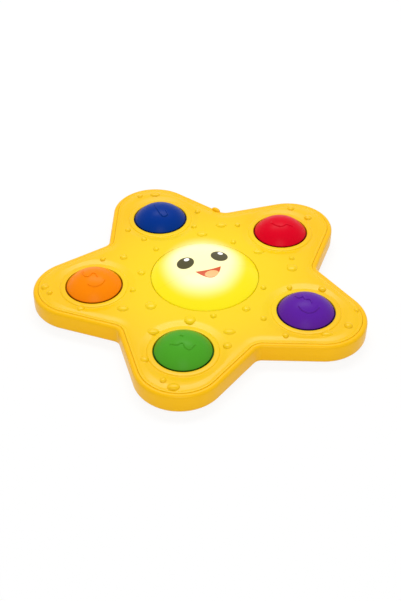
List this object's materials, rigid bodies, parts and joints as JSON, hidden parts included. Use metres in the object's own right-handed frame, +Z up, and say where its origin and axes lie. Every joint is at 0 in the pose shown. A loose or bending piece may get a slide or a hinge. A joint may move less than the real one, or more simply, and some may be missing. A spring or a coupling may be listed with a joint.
{
  "type": "starfish activity toy",
  "caption": "Flat star-shaped baby toy with a round press button on each arm, a lit domed lens in the middle, and a speaker, battery bay and power switch below.",
  "frame": {"origin": "middle of the toy's length and width, on the plane that its rubber feet stand on", "axes": "+Z up through the lit dome, +Y along the blue button's arm, +X along the toy's longest side, to the right when the face on the dome is upright"},
  "size_m": [0.2896, 0.2796, 0.0321],
  "materials": {
    "shell_yellow": "satin gloss moulded plastic",
    "base_amber": "satin moulded plastic",
    "dome_lemon": "translucent moulded plastic, lit from below",
    "cap_red": "satin moulded plastic",
    "cap_blue": "satin moulded plastic",
    "cap_orange": "satin moulded plastic",
    "cap_green": "satin moulded plastic",
    "cap_purple": "satin moulded plastic",
    "rubber_grey": "matt soft rubber",
    "board_green": "coated circuit board",
    "steel_plated": "plated steel",
    "resin_black": "black moulded plastic and potting resin",
    "cone_paper": "pressed paper or film",
    "lamp_clear": "clear cast resin",
    "cell_sleeve": "shrunk film over a metal can",
    "lead_sleeve": "insulated wire"
  },
  "bodies": {
    "case": {"top_shell": "shell_yellow", "bottom_shell": "base_amber", "light_dome": "dome_lemon", "main_board": "board_green", "sound_chip": "resin_black", "lamp_left": "lamp_clear", "lamp_right": "lamp_clear", "rubber_dome_red": "rubber_grey", "rubber_dome_blue": "rubber_grey", "rubber_dome_orange": "rubber_grey", "rubber_dome_green": "rubber_grey", "rubber_dome_purple": "rubber_grey", "switch_board_red": "board_green", "switch_board_blue": "board_green", "switch_board_orange": "board_green", "switch_board_green": "board_green", "switch_board_purple": "board_green", "foot_red": "rubber_grey", "foot_blue": "rubber_grey", "foot_orange": "rubber_grey", "foot_green": "rubber_grey", "foot_purple": "rubber_grey", "case_screw_red": "steel_plated", "case_screw_blue": "steel_plated", "case_screw_orange": "steel_plated", "case_screw_green": "steel_plated", "case_screw_purple": "steel_plated", "lead_red": "lead_sleeve", "lead_blue": "lead_sleeve", "lead_orange": "lead_sleeve", "lead_green": "lead_sleeve", "lead_purple": "lead_sleeve", "lead_speaker": "lead_sleeve", "lead_switch": "lead_sleeve", "speaker_frame": "steel_plated", "speaker_cone": "cone_paper", "speaker_screw_a": "steel_plated", "speaker_screw_b": "steel_plated", "board_screw_a": "steel_plated", "board_screw_b": "steel_plated", "switch_body": "steel_plated", "battery_cell_1": "cell_sleeve", "battery_cell_2": "cell_sleeve", "battery_cell_3": "cell_sleeve", "contact_spring_1": "steel_plated", "contact_spring_2": "steel_plated", "contact_spring_3": "steel_plated", "contact_plus": "steel_plated", "contact_link_left": "steel_plated", "contact_link_right": "steel_plated", "contact_minus": "steel_plated"},
    "red_button": {"button_red": "cap_red"},
    "blue_button": {"button_blue": "cap_blue"},
    "orange_button": {"button_orange": "cap_orange"},
    "green_button": {"button_green": "cap_green"},
    "purple_button": {"button_purple": "cap_purple"},
    "power_knob": {"switch_knob": "resin_black"},
    "door": {"battery_door": "base_amber", "door_screw_a": "steel_plated", "door_screw_b": "steel_plated"}
  },
  "joints": [
    {"name": "press_red", "type": "slide", "parent": "case", "child": "red_button", "axis": [0, 0, -1], "range_m": [0, 0.0025], "stiffness_N_per_m": 800, "springref_m": -0.001, "deforming": ["rubber_dome_red"]},
    {"name": "press_blue", "type": "slide", "parent": "case", "child": "blue_button", "axis": [0, 0, -1], "range_m": [0, 0.0025], "stiffness_N_per_m": 800, "springref_m": -0.001, "deforming": ["rubber_dome_blue"]},
    {"name": "press_orange", "type": "slide", "parent": "case", "child": "orange_button", "axis": [0, 0, -1], "range_m": [0, 0.0025], "stiffness_N_per_m": 800, "springref_m": -0.001, "deforming": ["rubber_dome_orange"]},
    {"name": "press_green", "type": "slide", "parent": "case", "child": "green_button", "axis": [0, 0, -1], "range_m": [0, 0.0025], "stiffness_N_per_m": 800, "springref_m": -0.001, "deforming": ["rubber_dome_green"]},
    {"name": "press_purple", "type": "slide", "parent": "case", "child": "purple_button", "axis": [0, 0, -1], "range_m": [0, 0.0025], "stiffness_N_per_m": 800, "springref_m": -0.001, "deforming": ["rubber_dome_purple"]},
    {"name": "switch_slide", "type": "slide", "parent": "case", "child": "power_knob", "axis": [1, 0, 0], "range_m": [0, 0.004]},
    {"name": "door_lift_off", "type": "slide", "parent": "case", "child": "door", "axis": [0, 0, -1], "range_m": [0, 0.015]}
  ]
}
